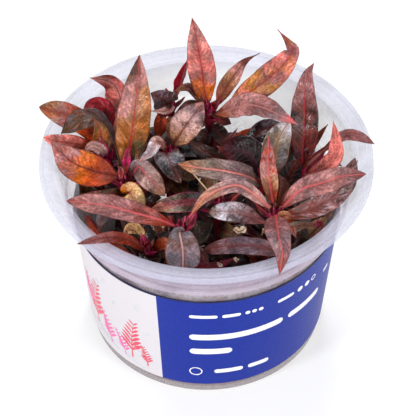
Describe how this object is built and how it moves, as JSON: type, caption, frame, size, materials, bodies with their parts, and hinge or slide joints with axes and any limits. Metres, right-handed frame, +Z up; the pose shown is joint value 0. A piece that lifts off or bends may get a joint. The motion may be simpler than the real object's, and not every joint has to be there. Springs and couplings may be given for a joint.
{
  "type": "aquarium plant in a culture cup",
  "caption": "Red-leaved Alternanthera reineckii shoots standing in a layer of gel, in a round translucent cup with a wide flange and a wrap label.",
  "frame": {"origin": "centre of the flat underside of the cup's floor", "axes": "+Z up along the cup's axis, -Y towards the side that carries the boundary between the label's white and blue panels, +X to the right seen from there"},
  "size_m": [0.1191, 0.1195, 0.1181],
  "materials": {
    "cup_plastic": "translucent milky polypropylene, smooth, with faint moulded rings",
    "label_print": null,
    "gel": "wet translucent beige gel",
    "stem": "fleshy, dark red, satin",
    "leaf_mauve": "dusty mauve-pink upper side, crimson underside, pink midrib, waxy gloss",
    "leaf_brown": "brown to olive upper side, red midrib, waxy gloss",
    "leaf_dark": "near-black wine upper side, wet gloss",
    "leaf_orange": "orange-brown where the light comes through, red midrib",
    "leaf_crimson": "crimson to magenta underside or young blade"
  },
  "bodies": {
    "root": {"cup": "cup_plastic", "label": "label_print", "gel": "gel", "stem_left": "stem", "stem_near_left": "stem", "stem_front_left": "stem", "stem_front": "stem", "stem_front_right": "stem", "stem_back": "stem", "stem_right": "stem", "stem_mid_left": "stem", "stem_mid_right": "stem", "stem_back_left": "stem", "stem_mid_back": "stem", "stem_middle": "stem", "leaf_back_tall": "leaf_mauve", "leaf_back_tailed": "leaf_brown", "leaf_back_hooked": "leaf_orange", "leaf_back_arched": "leaf_mauve", "leaf_back_brown": "leaf_brown", "leaf_back_low": "leaf_crimson", "leaf_back_left_crimson": "leaf_crimson", "leaf_back_left_dark": "leaf_dark", "leaf_left_orange": "leaf_orange", "leaf_left_blunt": "leaf_mauve", "leaf_left_magenta": "leaf_crimson", "leaf_left_folded": "leaf_crimson", "leaf_left_olive": "leaf_brown", "leaf_near_left_tall": "leaf_orange", "leaf_near_left_dark": "leaf_dark", "leaf_near_left_broad": "leaf_orange", "leaf_near_left_cream": "leaf_orange", "leaf_near_left_pale": "leaf_mauve", "leaf_near_left_grey": "leaf_dark", "leaf_mid_left_upright": "leaf_mauve", "leaf_mid_left_tan": "leaf_brown", "leaf_mid_left_dark": "leaf_dark", "leaf_mid_left_pale": "leaf_mauve", "leaf_front_left_long": "leaf_brown", "leaf_front_left_orange": "leaf_orange", "leaf_front_long": "leaf_mauve", "leaf_front_drooping": "leaf_mauve", "leaf_front_brown": "leaf_dark", "leaf_middle_speckled": "leaf_brown", "leaf_middle_olive": "leaf_dark", "leaf_front_right_twisted": "leaf_mauve", "leaf_front_right_speckled": "leaf_mauve", "leaf_front_right_mauve": "leaf_mauve", "leaf_front_right_hanging": "leaf_mauve", "leaf_front_right_glossy": "leaf_dark", "leaf_front_right_pink": "leaf_mauve", "leaf_front_right_upright": "leaf_orange", "leaf_front_right_wine": "leaf_crimson", "leaf_mid_right_grey": "leaf_brown", "leaf_mid_right_black": "leaf_dark", "leaf_mid_right_long": "leaf_mauve", "leaf_mid_back_purple": "leaf_dark", "leaf_right_tall": "leaf_mauve", "leaf_right_coral": "leaf_crimson", "leaf_right_far": "leaf_brown"}
  },
  "joints": []
}
